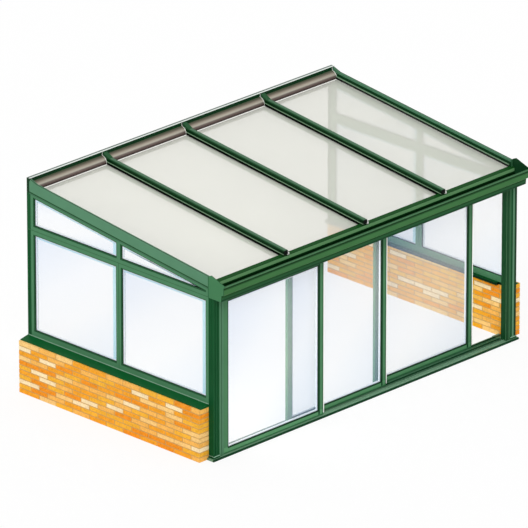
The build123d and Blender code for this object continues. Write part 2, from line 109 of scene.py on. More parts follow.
class Finish:
    """A material being put together, with short names for the nodes that are used often.

    A mask is a value that is 1 in the region it stands for and 0 elsewhere, or between the two
    where a colour fades in.
    """

    def __init__(self, name, roughness, specular=0.3, alpha=1.0):
        self.material = bpy.data.materials.new(name)
        self.material.use_nodes = True
        self.tree = self.material.node_tree
        self.shader = self.tree.nodes["Principled BSDF"]
        self.shader.inputs["Roughness"].default_value = roughness
        self.shader.inputs["Specular IOR Level"].default_value = specular
        self.shader.inputs["Alpha"].default_value = alpha
        self.place = self.new("ShaderNodeTexCoord")

    def new(self, kind, **settings):
        node = self.tree.nodes.new(kind)
        for setting, value in settings.items():
            setattr(node, setting, value)
        return node

    def put(self, socket, value):
        """Link a socket to another one, or give it a plain value."""
        if isinstance(value, bpy.types.NodeSocket):
            self.tree.links.new(value, socket)
        else:
            socket.default_value = value

    def math(self, operation, first, second=0.0):
        node = self.new("ShaderNodeMath", operation=operation)
        self.put(node.inputs[0], first)
        self.put(node.inputs[1], second)
        return node.outputs[0]

    def along(self, vector, axis):
        """One component of the object coordinates or of the surface's normal."""
        node = self.new("ShaderNodeSeparateXYZ")
        self.put(node.inputs[0], self.place.outputs[vector])
        return node.outputs[axis]

    def at(self, axis):
        return self.along("Object", axis)

    def outward(self):
        """Distance from the middle plane of the veranda, which is the same on both sides."""
        return self.math("ABSOLUTE", self.at(X))

    def above_roof(self):
        """Height above the roofing's top face."""
        slope = self.math("MULTIPLY", self.math("SUBTRACT", self.at(Y), ROOF_EDGE[Y]), ROOF_PITCH)
        return self.math("SUBTRACT", self.math("SUBTRACT", self.at(Z), ROOF_EDGE[Z]), slope)

    def over(self, value, limit):
        return self.math("GREATER_THAN", value, limit)

    def under(self, value, limit):
        return self.math("LESS_THAN", value, limit)

    def both(self, first, second):
        return self.math("MULTIPLY", first, second)

    def between(self, value, low, high):
        return self.both(self.over(value, low), self.under(value, high))

    def facing(self, axis, sign):
        """The faces that point along an axis."""
        return self.over(self.math("MULTIPLY", self.along("Normal", axis), sign), 0.6)

    def beside(self, axis):
        """The faces that point neither way along an axis."""
        return self.under(self.math("ABSOLUTE", self.along("Normal", axis)), 0.5)

    def mix(self, factor, first, second):
        node = self.new("ShaderNodeMix", data_type="RGBA")
        self.put(node.inputs["Factor"], factor)
        self.put(node.inputs["A"], first)
        self.put(node.inputs["B"], second)
        return node.outputs["Result"]

    def regions(self, colour, *rules):
        """A base colour, and further colours laid over it by their masks. Later ones lie on top."""
        for mask, painted_over in rules:
            colour = self.mix(mask, colour, painted_over)
        return colour

    def noise(self, scale, detail=3.0):
        node = self.new("ShaderNodeTexNoise")
        node.inputs["Scale"].default_value = scale
        node.inputs["Detail"].default_value = detail
        self.put(node.inputs["Vector"], self.place.outputs["Object"])
        return node.outputs["Fac"]

    def spread(self, value, low, high, start=0.0, end=1.0):
        """A value from low to high, brought to the range from start to end."""
        node = self.new("ShaderNodeMapRange")
        self.put(node.inputs["Value"], value)
        node.inputs["From Min"].default_value = low
        node.inputs["From Max"].default_value = high
        node.inputs["To Min"].default_value = start
        node.inputs["To Max"].default_value = end
        return node.outputs[0]

    def ramp(self, value, low, high, stops, blend="LINEAR"):
        """A run of colours as a value goes from low to high, blended or in steps."""
        node = self.new("ShaderNodeValToRGB")
        self.put(node.inputs[0], self.spread(value, low, high))
        band = node.color_ramp
        band.interpolation = blend
        while len(band.elements) < len(stops):
            band.elements.new(0.5)
        for element, (position, colour) in zip(band.elements, stops):
            element.position = position
            element.color = colour
        return node.outputs["Color"]

    def done(self, colour, variation=0.05, scale=6.0, bump=0.0, bump_scale=300.0, bump_depth=0.001):
        """Give the shader its colour with a slight cloudy variation, and a fine bump."""
        level = self.spread(self.noise(scale), 0.3, 0.7, 1 - variation, 1 + variation)
        tint = self.new("ShaderNodeVectorMath", operation="SCALE")
        self.put(tint.inputs[0], colour[:3] if isinstance(colour, tuple) else colour)
        self.put(tint.inputs["Scale"], level)
        self.put(self.shader.inputs["Base Color"], tint.outputs[0])
        if bump:
            relief = self.new("ShaderNodeBump")
            relief.inputs["Strength"].default_value = bump
            relief.inputs["Distance"].default_value = bump_depth
            self.put(relief.inputs["Height"], self.noise(bump_scale, 4.0))
            self.put(self.shader.inputs["Normal"], relief.outputs[0])
        return self.material


DARK_GREEN = linear(16, 78, 40)
GROOVE_SHADE_GREEN = linear(6, 52, 24)
SHADOW_GREEN = linear(10, 40, 22)
MID_GREEN = linear(68, 124, 84)
# Pale green for painted highlights on tops and edges
HIGHLIGHT_GREEN = linear(140, 176, 152)
TROUGH_SHADE_GREEN = linear(8, 44, 16)
TRACK_EDGE = linear(17, 60, 34)
FASCIA_PAINTED_LIGHT = linear(76, 124, 94)
RUBBER_BLACK = linear(10, 14, 12)
TRIM_WHITE = linear(255, 255, 250)


def paint(name):
    """Satin powder coat, to be finished with painted()."""
    return Finish(name, roughness=0.38, specular=0.06)


def painted(look, colour):
    """Give a satin paint its colour, slightly uneven, with a very fine grain."""
    return look.done(colour, variation=0.045, scale=3.0, bump=0.12, bump_scale=420.0)


def plain_paint(name, colour):
    """Satin paint of one colour."""
    return painted(paint(name), colour)


def window_paint():
    """Gable windows: mid green faces, with painted shade on the recessed glazing bead and on the reveals
    beside the panes.
    """
    look = paint("window_paint")
    bead = look.between(look.outward(), HALF - BEAD_STEP - 2 * MM, HALF - BEAD_STEP + 2 * MM)
    # The bead's darker green and the reveals' dark green are painted shade.
    colour = look.regions(
        linear(74, 126, 90), (bead, linear(44, 94, 60)), (look.beside(X), linear(16, 58, 30)))
    return painted(look, colour)


def fascia_paint():
    """Gable rafters: a lit outer leg over a painted shadow line, an inside in painted shade, and a
    painted highlight on the ledge.
    """
    look = paint("fascia_paint")
    rise = look.above_roof()
    line_foot = FASCIA_FOOT - 16 * MM
    outer = look.over(look.outward(), HALF - 1 * MM)
    leg_shadow_line = look.both(outer, look.between(rise, line_foot, FASCIA_FOOT))
    body = look.both(outer, look.under(rise, line_foot))
    shaded_inner_side = look.both(look.under(look.outward(), FASCIA_INSIDE + 1 * MM), look.over(rise, 0.0))
    lit_inner_top = look.both(shaded_inner_side, look.over(rise, 74 * MM))
    top = look.facing(Z, 1)
    top_edge = look.both(top, look.over(look.outward(), HALF - 18 * MM))
    ledge = look.both(
        look.between(rise, FLANGE_FOOT - 1 * MM, FLANGE_TOP + 1 * MM),
        look.under(look.outward(), FASCIA_INSIDE - 1 * MM))
    # Painted light and shade: lit outer leg and top, a lit band atop the inside, the rest of the inside
    # in shade
    colour = look.regions(
        linear(60, 112, 76), (shaded_inner_side, linear(2, 54, 22)), (lit_inner_top, FASCIA_PAINTED_LIGHT),
        (top, FASCIA_PAINTED_LIGHT), (top_edge, linear(58, 90, 66)), (ledge, linear(126, 158, 128)),
        (outer, linear(85, 133, 102)), (leg_shadow_line, linear(28, 74, 40)), (body, linear(66, 110, 82)))
    return painted(look, colour)


def post_paint():
    """Posts: dark green with painted shade in their grooves and a pale top painted lit, and a paler flute
    on the right-hand front face.
    """
    look = paint("post_paint")
    flute_start = HALF - 70 * MM
    flute_end = HALF - 36 * MM
    forward = look.facing(Y, -1)
    groove = look.both(forward, look.between(look.at(Y), FRONT + 3 * MM, FRONT + 20 * MM))
    flute = look.both(forward, look.between(look.at(X), flute_start, flute_end))
    outer_edge = look.both(forward, look.over(look.at(X), flute_end))
    shoe = look.under(look.at(Z), SHOE_TOP + 1 * MM)
    # The grooves' deeper green is painted shade, and the pale top is painted light.
    colour = look.regions(
        DARK_GREEN, (groove, GROOVE_SHADE_GREEN), (flute, linear(86, 130, 100)),
        (outer_edge, linear(24, 56, 34)), (shoe, linear(10, 72, 36)), (look.facing(Z, 1), HIGHLIGHT_GREEN))
    return painted(look, colour)


def jamb_paint():
    """Jambs: the left one light green with painted shade in its groove, the right one painted dark as
    shade, with a paler outer half.
    """
    look = paint("jamb_paint")
    forward = look.facing(Y, -1)
    groove = look.both(forward, look.over(look.at(Y), FRONT + 3 * MM))
    right = look.over(look.at(X), 0.0)
    outer_half = look.both(forward, look.over(look.at(X), HALF - POST_WIDTH - 30 * MM))
    edge_line = look.both(
        look.both(right, look.facing(X, -1)), look.under(look.at(Y), FRONT + 10 * MM))
    colour = look.regions(
        linear(78, 124, 92), (groove, SHADOW_GREEN), (right, linear(20, 68, 36)),
        (outer_half, linear(50, 96, 62)), (edge_line, linear(64, 104, 72)))
    return painted(look, colour)


def leaf_paint(leaf):
    """A sliding leaf: a bead, inner edge and reveals painted dark as shade, a mid green face and a dark
    line at its right edge.
    """
    look = paint(f"{leaf}_leaf_paint")
    low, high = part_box(f"{leaf}_leaf_frame")
    opening = high[X] - LEAF_STILE
    bead_front = low[Y] + 4 * MM
    margin = 20 * MM
    forward = look.facing(Y, -1)
    face = look.both(forward, look.under(look.at(Y), bead_front))
    bead = look.both(forward, look.between(look.at(Y), bead_front, low[Y] + 9 * MM))
    inner_band = look.both(face, look.between(look.at(X), opening, opening + 28 * MM))
    edge_line = look.both(face, look.over(look.at(X), high[X] - 14 * MM))
    rail = look.both(face, look.under(look.at(Z), low[Z] + 75 * MM))
    foot = look.both(face, look.under(look.at(Z), low[Z] + 16 * MM))
    inside = look.both(
        look.between(look.at(X), low[X] + margin, high[X] - margin),
        look.between(look.at(Z), low[Z] + margin, high[Z] - margin))
    colour = look.regions(
        linear(74, 124, 86), (rail, linear(90, 146, 102)), (inner_band, linear(26, 72, 42)),
        (edge_line, linear(38, 84, 54)), (foot, linear(60, 118, 76)), (bead, linear(36, 80, 48)),
        (look.both(look.beside(Y), inside), SHADOW_GREEN))
    return painted(look, colour)


def sill_track_paint():
    """The sill track: a dark front edge, then bands of painted light and shade from its nose to the room.
    """
    look = paint("sill_track_paint")
    low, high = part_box("sill_track")
    # Light bands painted on the nose and rail tops, dark bands of painted shade along the channels
    bands = look.ramp(look.at(Y), low[Y], high[Y], [
        (0.00, TRACK_EDGE), (0.053, linear(114, 152, 124)), (0.323, linear(88, 124, 98)),
        (0.444, linear(28, 70, 44)), (0.526, linear(92, 138, 106)), (0.609, linear(76, 120, 90)),
        (0.737, linear(26, 66, 40)), (0.88, linear(120, 150, 128))], "CONSTANT")
    front = look.both(look.facing(Y, -1), look.under(look.at(Y), low[Y] + 8 * MM))
    return painted(look, look.regions(bands, (front, TRACK_EDGE)))


def gutter_paint():
    """The gutter: bands of painted light and shade from its lit lip down to its shaded foot, and a trough
    painted in shade.
    """
    look = paint("gutter_paint")
    lip = HEAD + 220 * MM
    upward = look.facing(Z, 1)
    front = look.ramp(look.at(Z), HEAD, lip, [
        (0.00, linear(26, 68, 42)), (0.045, linear(14, 62, 30)), (0.11, linear(32, 84, 46)),
        (0.24, linear(20, 72, 28)), (0.38, linear(60, 110, 62)), (0.70, linear(36, 82, 42)),
        (0.76, linear(6, 50, 12)), (0.82, linear(51, 97, 59)), (0.885, linear(88, 138, 96)),
        (0.96, linear(50, 90, 58))], "CONSTANT")
    lip_top = look.both(upward, look.over(look.at(Z), lip - 5 * MM))
    floor = look.both(upward, look.under(look.at(Z), lip - 20 * MM))
    back = look.over(look.at(Y), FRONT - 20 * MM)
    # The trough, its floor and the back are painted in shade
    colour = look.regions(
        front, (look.facing(Y, 1), TROUGH_SHADE_GREEN), (floor, TROUGH_SHADE_GREEN),
        (back, linear(5, 40, 12)), (lip_top, linear(60, 104, 66)))
    return painted(look, colour)


def eaves_paint():
    """The eaves beam: a dark sloping lap over a face painted light down to the gutter's painted shadow.
    """
    look = paint("eaves_paint")
    forward = look.facing(Y, -1)
    shaded = look.both(forward, look.under(look.at(Z), HEAD + 122 * MM))
    # The front face is painted lighter than its paint to make up for light the gutter keeps off it
    colour = look.regions(
        linear(20, 74, 30), (look.facing(Z, 1), linear(20, 72, 26)),
        (forward, linear(124, 182, 124)), (shaded, linear(12, 62, 24)))
    return painted(look, colour)


def end_plate_paint():
    """The gutter's end plates: mid green outside, painted dark as shade inside, with a dark line down
    their back edge.
    """
    look = paint("end_plate_paint")
    outer = look.over(look.outward(), HALF + 7 * MM)
    back_line = look.over(look.at(Y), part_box("left_gutter_end")[1][Y] - 9 * MM)
    return painted(look, look.regions(
        linear(22, 66, 36), (outer, linear(64, 119, 79)), (back_line, linear(28, 78, 44))))


def wall_plate_paint():
    """The wall plate: a painted white highlight along the front of its top with a grey strip behind, and
    a front painted dark as shade.
    """
    look = paint("wall_plate_paint")
    top = look.facing(Z, 1)
    back_strip = look.both(top, look.over(look.at(Y), WALL_LINE - 30 * MM))
    colour = look.regions(
        linear(16, 56, 30), (top, linear(230, 238, 232)), (back_strip, linear(110, 122, 114)))
    return painted(look, colour)


def cap_paint():
    """Rafter caps: a top painted lit, sides painted in shade, a painted highlight on the flange's edge
    and a black gasket under it.
    """
    look = paint("cap_paint")
    rise = look.above_roof()
    gasket_top = FLANGE_FOOT + 0.2 * MM
    # The sides' painted shade, lightening again towards the top's edge
    side = look.ramp(rise, FLANGE_TOP, FLANGE_TOP + 50 * MM, [
        (0.0, linear(10, 60, 28)), (0.3, linear(0, 38, 10)), (0.75, linear(2, 46, 16)),
        (0.9, linear(40, 84, 52))])
    top = look.over(look.along("Normal", Z), 0.9)
    flange = look.between(rise, gasket_top, FLANGE_TOP + 0.8 * MM)
    gasket = look.under(rise, gasket_top)
    colour = look.regions(
        side, (top, linear(73, 110, 83)), (flange, linear(130, 162, 130)), (gasket, linear(0, 6, 0)))
    return painted(look, colour)


def rafter_paint():
    """Rafters: mid green, with painted shade underneath."""
    look = paint("rafter_paint")
    return painted(look, look.regions(MID_GREEN, (look.facing(Z, -1), linear(54, 104, 70))))


def sill_paint():
    """The gables' sills: saturated green, and painted nearly black as shade on the inner board's edge."""
    look = paint("sill_paint")
    nose = look.both(
        look.under(look.outward(), HALF - FRAME_DEPTH), look.under(look.along("Normal", Z), 0.6))
    return painted(look, look.regions(linear(8, 84, 38), (nose, linear(3, 42, 20))))


def closure_finish():
    """The ridge closure: brown plastic with a painted highlight along its rounded middle and painted
    shade towards its foot.
    """
    look = Finish("closure_brown", roughness=0.42, specular=0.1)
    lean = 0.29
    up = look.math("ADD", look.at(Z), look.math("MULTIPLY", look.at(Y), lean))
    foot = CLOSURE_LOW[Z] + lean * CLOSURE_LOW[Y]
    top = CLOSURE_HIGH[Z] + lean * CLOSURE_HIGH[Y]
    # Painted shade at the foot, a painted highlight about the middle, olive towards the top
    colour = look.ramp(up, foot, top, [
        (0.10, linear(58, 48, 44)), (0.20, linear(88, 74, 70)), (0.30, linear(102, 88, 84)),
        (0.40, linear(120, 110, 104)), (0.50, linear(176, 172, 158)), (0.62, linear(168, 160, 146)),
        (0.72, linear(144, 134, 121)), (0.82, linear(114, 106, 94)), (0.90, linear(96, 94, 78)),
        (0.97, linear(84, 92, 72))])
    return look.done(colour, variation=0.03, scale=2.0, bump=0.08, bump_scale=250.0)


def opal_finish():
    """Opal roof sheet: milky, a little see-through, with its hollow ribs running down the slope."""
    look = Finish("opal_sheet", roughness=0.32, specular=0.25, alpha=0.56)
    rib_pitch = 20 * MM
    ribs = look.math("SINE", look.math("MULTIPLY", look.at(X), 2 * math.pi / rib_pitch))
    shade = look.math("MULTIPLY", look.math("ADD", ribs, 1.0), 0.5)
    colour = look.mix(shade, linear(229, 229, 220), linear(233, 233, 225))
    return look.done(colour, variation=0.012, scale=1.2)


def glass_finish(name, across, start, length, low, high):
    """Clear double glazing with a painted reflection of sky: a faint blue cast towards two opposite
    corners.

    across is the axis along the pane. start is the first pane's place, length is the step to the
    next, and low and high are the heights that the cast goes between.
    """
    look = Finish(name, roughness=0.04, specular=0.4, alpha=0.17)
    steps = look.math("DIVIDE", look.math("SUBTRACT", look.at(across), start), length)
    along = look.math("FRACT", steps)
    if across == Y:
        along = look.math("SUBTRACT", 1.0, along)
    down = look.spread(look.at(Z), high, low)
    diagonal = look.math("ADD", look.math("MULTIPLY", along, 0.45), look.math("MULTIPLY", down, 0.55))
    # The painted sky reflection: blue towards two opposite corners, near white between
    colour = look.ramp(diagonal, 0.0, 1.0, [
        (0.05, linear(172, 202, 242)), (0.38, linear(234, 241, 252)), (0.62, linear(242, 246, 252)),
        (0.98, linear(184, 212, 242))])
    return look.done(colour, variation=0.01, scale=1.0)


# Each tone's colour on screen, and its share of the bricks
BRICK_TONES = {
    "deep_orange": ((238, 146, 32), 5),
    "orange": ((240, 162, 42), 8),
    "amber": ((242, 178, 54), 7),
    "apricot": ((244, 182, 88), 7),
    "peach": ((248, 202, 126), 4),
    "cream": ((250, 226, 180), 3),
}
DOORWAY_DEPTH = (-1.1, -0.8)    # where the painted light on the right wall's inner face starts and stops


def brick_finish(tone, colour):
    """One brick tone. From the doorway inwards, the right wall's inner face is painted paler and
    yellower: painted light, making up for the room's shade and the glass's blue veil in front of it.
    """
    look = Finish(f"brick_{tone}", roughness=0.85, specular=0.15)
    fleck = look.ramp(look.noise(55.0, 5.0), 0.3, 0.7, [
        (0.0, linear(*(max(0, value - 16) for value in colour))),
        (0.5, linear(*colour)),
        (1.0, linear(*(min(255, value + 10) for value in colour)))])
    red, green, blue = colour
    painted_light_yellower = linear(red + 0.4 * (255 - red), green + 0.3 * (234 - green), blue)
    depth = look.ramp(look.at(Y), *DOORWAY_DEPTH, [(0.0, linear(0, 0, 0)), (1.0, linear(232, 232, 232))])
    inner_face = look.between(look.at(X), HALF - 150 * MM, HALF)
    fleck = look.regions(fleck, (look.both(inner_face, depth), painted_light_yellower))
    return look.done(fleck, variation=0.07, scale=9.0, bump=0.5, bump_scale=120.0, bump_depth=0.002)


def mortar_finish():
    look = Finish("mortar", roughness=0.95, specular=0.1)
    return look.done(linear(204, 166, 104), variation=0.08, scale=25.0, bump=0.5, bump_scale=260.0)


def rubber_finish():
    look = Finish("black_gasket", roughness=0.6, specular=0.25)
    return look.done(RUBBER_BLACK, variation=0.1, scale=12.0)


def plastic_finish(name, colour, roughness):
    look = Finish(name, roughness=roughness, specular=0.3)
    return look.done(colour, variation=0.02, scale=8.0)


# The trim's materials
gasket_black = rubber_finish()
spacer_pale = plastic_finish("spacer_pale", linear(240, 247, 252), 0.35)
# Cyan for the frames' painted shadow on the gable panes' glass
frame_shadow_cyan = plastic_finish("frame_shadow_cyan", linear(196, 236, 244), 0.35)
tape_white = plastic_finish("white_tape", TRIM_WHITE, 0.5)
seal_white = plastic_finish("seal_white", TRIM_WHITE, 0.6)
# Pale green pieces that are painted highlights on the posts' shoes and the sills' edges
painted_highlight_trim = plain_paint("painted_highlight_trim", HIGHLIGHT_GREEN)
joint_green = plain_paint("joint_green", linear(56, 104, 68))


# Shapes, each a list of points and a list of faces that hold the points' numbers


def drawn_out(outline, axis, start, end):
    """The points of an outline in the plane across an axis, at two places along that axis."""
    points = []
    for place in (start, end):
        for pair in outline:
            point = list(pair)
            point.insert(axis, place)
            points.append(point)
    return points


def prism(outline, axis, start, end):
    """An outline in the plane across an axis, drawn out from start to end."""
    count = len(outline)
    faces = [list(range(count)), list(range(count, 2 * count))]
    for i in range(count):
        j = (i + 1) % count
        faces.append([i, j, count + j, count + i])
    return drawn_out(outline, axis, start, end), faces


def block(low, high):
    """A box between two opposite corners."""
    corners = [(low[X], low[Y]), (high[X], low[Y]), (high[X], high[Y]), (low[X], high[Y])]
    return prism(corners, Z, low[Z], high[Z])


def ring(outer, inner, axis, start, end):
    """A flat ring between two outlines that have as many corners."""
    count = len(outer)
    far = 2 * count
    faces = []
    for i in range(count):
        j = (i + 1) % count
        faces.append([i, j, count + j, count + i])
        faces.append([far + i, far + j, far + count + j, far + count + i])
        faces.append([i, j, far + j, far + i])
        faces.append([count + i, count + j, far + count + j, far + count + i])
    return drawn_out(outer + inner, axis, start, end), faces


def piece(name, parts, bevel=0.0, body="frame"):
    """One mesh from several parts, each a material and the shapes that are made of it."""
    mesh = bpy.data.meshes.new(name)
    shaped = bmesh.new()
    for number, (material, shapes) in enumerate(parts):
        mesh.materials.append(material)
        for points, faces in shapes:
            corners = [shaped.verts.new(point) for point in points]
            for face in faces:
                shaped.faces.new([corners[i] for i in face]).material_index = number
    bmesh.ops.recalc_face_normals(shaped, faces=shaped.faces)
    if bevel:
        bmesh.ops.bevel(
            shaped, geom=shaped.edges[:], offset=bevel, segments=2, profile=0.5,
            affect="EDGES", clamp_overlap=True)
    shaped.to_mesh(mesh)
    shaped.free()
    made = bpy.data.objects.new(name, mesh)
    scene.collection.objects.link(made)
    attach(made, body)
    return made


def span(side, inner, outer):
    """Two distances from a middle plane, as places from left to right on one side of it."""
    return sorted((side * inner, side * outer))


# Outlines and parts read from the frame's nodes


def sides(outline):
    """Each side of an outline, as its two ends."""
    return list(zip(outline, outline[1:] + outline[:1]))


def shrunk(outline, inset):
    """A convex outline, listed anticlockwise, with each side moved in."""
    moved = []
    for start, end in sides(outline):
        along = (Vector(end) - Vector(start)).normalized()
        inward = Vector((-along.y, along.x))
        moved.append((Vector(start) + inward * inset, along))
    corners = []
    for i in range(len(outline)):
        (first, first_way), (second, second_way) = moved[i - 1], moved[i]
        reach = (second - first).cross(second_way) / first_way.cross(second_way)
        corners.append(tuple(first + first_way * reach))
    return corners


def cut(outline, corner, outward):
    """The part of a convex outline behind the line through a corner, square to the outward way."""
    kept = []
    for start, end in sides(outline):
        ahead = (Vector(start) - Vector(corner)).dot(outward)
        next_ahead = (Vector(end) - Vector(corner)).dot(outward)
        if ahead <= 0:
            kept.append(start)
        if ahead * next_ahead < 0:
            kept.append(tuple(Vector(start).lerp(Vector(end), ahead / (ahead - next_ahead))))
    return kept


def longest_upper_side(outline):
    """The longest side of an anticlockwise outline that has the rest of it below."""
    upper = [(start, end) for start, end in sides(outline) if end[0] < start[0] - 1 * MM]
    return max(upper, key=lambda side: (Vector(side[1]) - Vector(side[0])).length)


def loose_parts(node):
    """The vertices of each separate solid in a node, in the order of their leftmost points."""
    shaped = bmesh.new()
    shaped.from_mesh(node.data)
    bmesh.ops.remove_doubles(shaped, verts=shaped.verts, dist=1e-5)
    left = set(shaped.verts)
    parts = []
    while left:
        found = [left.pop()]
        reached = []
        while found:
            vertex = found.pop()
            reached.append(vertex.co.copy())
            for edge in vertex.link_edges:
                other = edge.other_vert(vertex)
                if other in left:
                    left.remove(other)
                    found.append(other)
        parts.append(reached)
    shaped.free()
    return sorted(parts, key=lambda part: min(tuple(point) for point in part))


def extent(part, axis):
    """The lowest and highest place of a part's vertices along an axis."""
    places = [point[axis] for point in part]
    return min(places), max(places)


def pane_outlines(name, axis):
    """Each pane of a node: its outline across an axis, anticlockwise, and its two faces' places."""
    panes = []
    for part in loose_parts(nodes[name]):
        flat = []
        for point in part:
            pair = [point[i] for i in range(3) if i != axis]
            if all((Vector(pair) - Vector(other)).length > 1e-4 for other in flat):
                flat.append(tuple(pair))
        outline = [flat[i] for i in convex_hull_2d(flat)]
        area = sum(start[0] * end[1] - end[0] * start[1] for start, end in sides(outline))
        near, far = extent(part, axis)
        panes.append((outline if area > 0 else outline[::-1], near, far))
    return panes


# Brick walls

COURSES = 11
BRICK_LENGTH = 280 * MM
JOINT = 10 * MM
JOINT_RECESS = 4 * MM
random.seed(7)


def bricks_of(low, high):
    """A wall's bricks in running bond: two leaves of stretchers, and bricks right through at the ends."""
    course = (high[Z] - low[Z]) / COURSES
    middle = (low[X] + high[X]) / 2
    bricks = []
    for row in range(COURSES):
        bottom = low[Z] + row * course + (JOINT / 2 if row else 0)
        top = low[Z] + (row + 1) * course - (JOINT / 2 if row < COURSES - 1 else 0)
        start = low[Y]
        length = BRICK_LENGTH if row % 2 else (BRICK_LENGTH - JOINT) / 2
        while start < high[Y] - JOINT:
            end = min(start + length, high[Y])
            if high[Y] - end < BRICK_LENGTH / 4:
                end = high[Y]
            through = start == low[Y] or end == high[Y]
            leaves = [(low[X], high[X])] if through else [
                (low[X], middle - JOINT / 2), (middle + JOINT / 2, high[X])]
            for left, right in leaves:
                bricks.append(block((left, start, bottom), (right, end, top)))
            start = end + JOINT
            length = BRICK_LENGTH
    return bricks


def brick_walls():
    """Both dwarf walls: a mortar core, and bricks of seeded tones that stand proud of its sides."""
    mortar = mortar_finish()
    finishes = {tone: brick_finish(tone, colour) for tone, (colour, share) in BRICK_TONES.items()}
    draws = [tone for tone, (colour, share) in BRICK_TONES.items() for repeat in range(share)]
    for side in GABLES:
        low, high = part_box(f"{side}_brick_wall")
        core = block(
            (low[X] + JOINT_RECESS, low[Y] + JOINT_RECESS, low[Z]),
            (high[X] - JOINT_RECESS, high[Y] - JOINT_RECESS, high[Z] - 1 * MM))
        by_tone = {tone: [] for tone in BRICK_TONES}
        for brick in bricks_of(low, high):
            by_tone[random.choice(draws)].append(brick)
        parts = [(mortar, [core])] + [(finishes[tone], bricks) for tone, bricks in by_tone.items()]
        wall = piece(f"{side}_brickwork", parts, bevel=1.5 * MM)
        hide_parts(f"{side}_brick_wall")


# Glazing

GASKET_WIDTH = 5 * MM
GASKET_PROUD = 3 * MM
SPACER_WIDTH = 13 * MM
SHEET_THICKNESS = 4 * MM        # each of a pane's two sheets of glass
# How wide the frames' painted shadow on a gable pane's glass runs along its front and its top
FRONT_SHADOW_WIDTH = 55 * MM            # along the front
TOP_SHADOW_WIDTH = 22 * MM


def frame_shadow_films(outline, middle):
    """Thin cyan films inside a gable's pane, along its front and top: the frame's painted shadow on the
    glass.
    """
    front = min(place for place, height in outline)
    front_film = cut(outline, (front + FRONT_SHADOW_WIDTH, 0), (1, 0))
    start, end = longest_upper_side(outline)
    slope = (end[1] - start[1]) / (end[0] - start[0])
    top_film = cut(outline, (start[0], start[1] - TOP_SHADOW_WIDTH), (slope, -1))
    return [
        prism(front_film, X, middle - 1 * MM, middle + 1 * MM),
        prism(top_film, X, middle - 1.5 * MM, middle + 1.5 * MM),
    ]


def pane_trim(name, node, axis, body):
    """The black gaskets on both faces of each pane, and the pale spacer bar between its sheets.

    A gable's pane also has the films of the frame's painted shadow on its glass.
    """
    gaskets = []
    spacers = []
    films = []
    for outline, near, far in pane_outlines(node, axis):
        hidden = shrunk(outline, REBATE - 2 * MM)
        gasket_inside = shrunk(outline, REBATE + GASKET_WIDTH)
        spacer_inside = shrunk(outline, REBATE + GASKET_WIDTH + SPACER_WIDTH)
        gaskets.append(ring(hidden, gasket_inside, axis, near - GASKET_PROUD, near))
        gaskets.append(ring(hidden, gasket_inside, axis, far, far + GASKET_PROUD))
        spacers.append(ring(hidden, spacer_inside, axis, near + SHEET_THICKNESS, far - SHEET_THICKNESS))
        if axis == X:
            films += frame_shadow_films(spacer_inside, (near + far) / 2)
    parts = [(gasket_black, gaskets), (spacer_pale, spacers), (frame_shadow_cyan, films)]
    piece(name, parts, body=body)


# Roof trim

LIP_WIDTH = 16 * MM
SEAL_WIDTH = 6 * MM
SEAL_THICKNESS = 14 * MM
SEAL_BULGE = 26 * MM
SEAL_STEPS = 8


def roof_strip(left, right, front, back, low, high):
    """A strip that follows the roofing, from one rise above it to another."""
    outline = [
        (front, roof_height(front, low)), (back, roof_height(back, low)),
        (back, roof_height(back, high)), (front, roof_height(front, high))]
    return prism(outline, X, left, right)


def roof_trim():
    """White end tape on the sheets below the closure, and the black seals under the fascias' ledges."""
    toe = CLOSURE_LOW[Y]
    tapes = []
    for part in loose_parts(nodes["ridge_closure"]):
        left, right = extent(part, X)
        tapes.append(roof_strip(left, right, toe - 16 * MM, toe + 4 * MM, 0.2 * MM, 2 * MM))
    piece("sheet_end_tape", [(tape_white, tapes)])
    seals = []
    for side in (-1, 1):
        left, right = span(side, LEDGE + 3 * MM, FASCIA_INSIDE + 1 * MM)
        seals.append(roof_strip(left, right, FRONT + 110 * MM, toe - 4 * MM, 0.3 * MM, FLANGE_FOOT))
    piece("ledge_seals", [(gasket_black, seals)])


def head_seal(right):
    """A thin lip that follows the closure's section down from the wall plate, up to a right face."""
    start = Vector((CLOSURE_HIGH[Y] - 4 * MM, CLOSURE_HIGH[Z]))
    end = Vector((CLOSURE_LOW[Y], roof_height(CLOSURE_LOW[Y], 2 * MM)))
    along = end - start
    outward = Vector((along.y, -along.x)).normalized()
    line = [(start.x, RIDGE - 14 * MM)]
    for step in range(SEAL_STEPS + 1):
        share = step / SEAL_STEPS
        bulge = SEAL_BULGE * 4 * share * (1 - share)
        line.append(tuple(start + along * share + outward * bulge))
    inner = [(y + SEAL_THICKNESS, z - SEAL_THICKNESS * 0.3) for y, z in line]
    return prism(line + inner[::-1], X, right - SEAL_WIDTH, right)


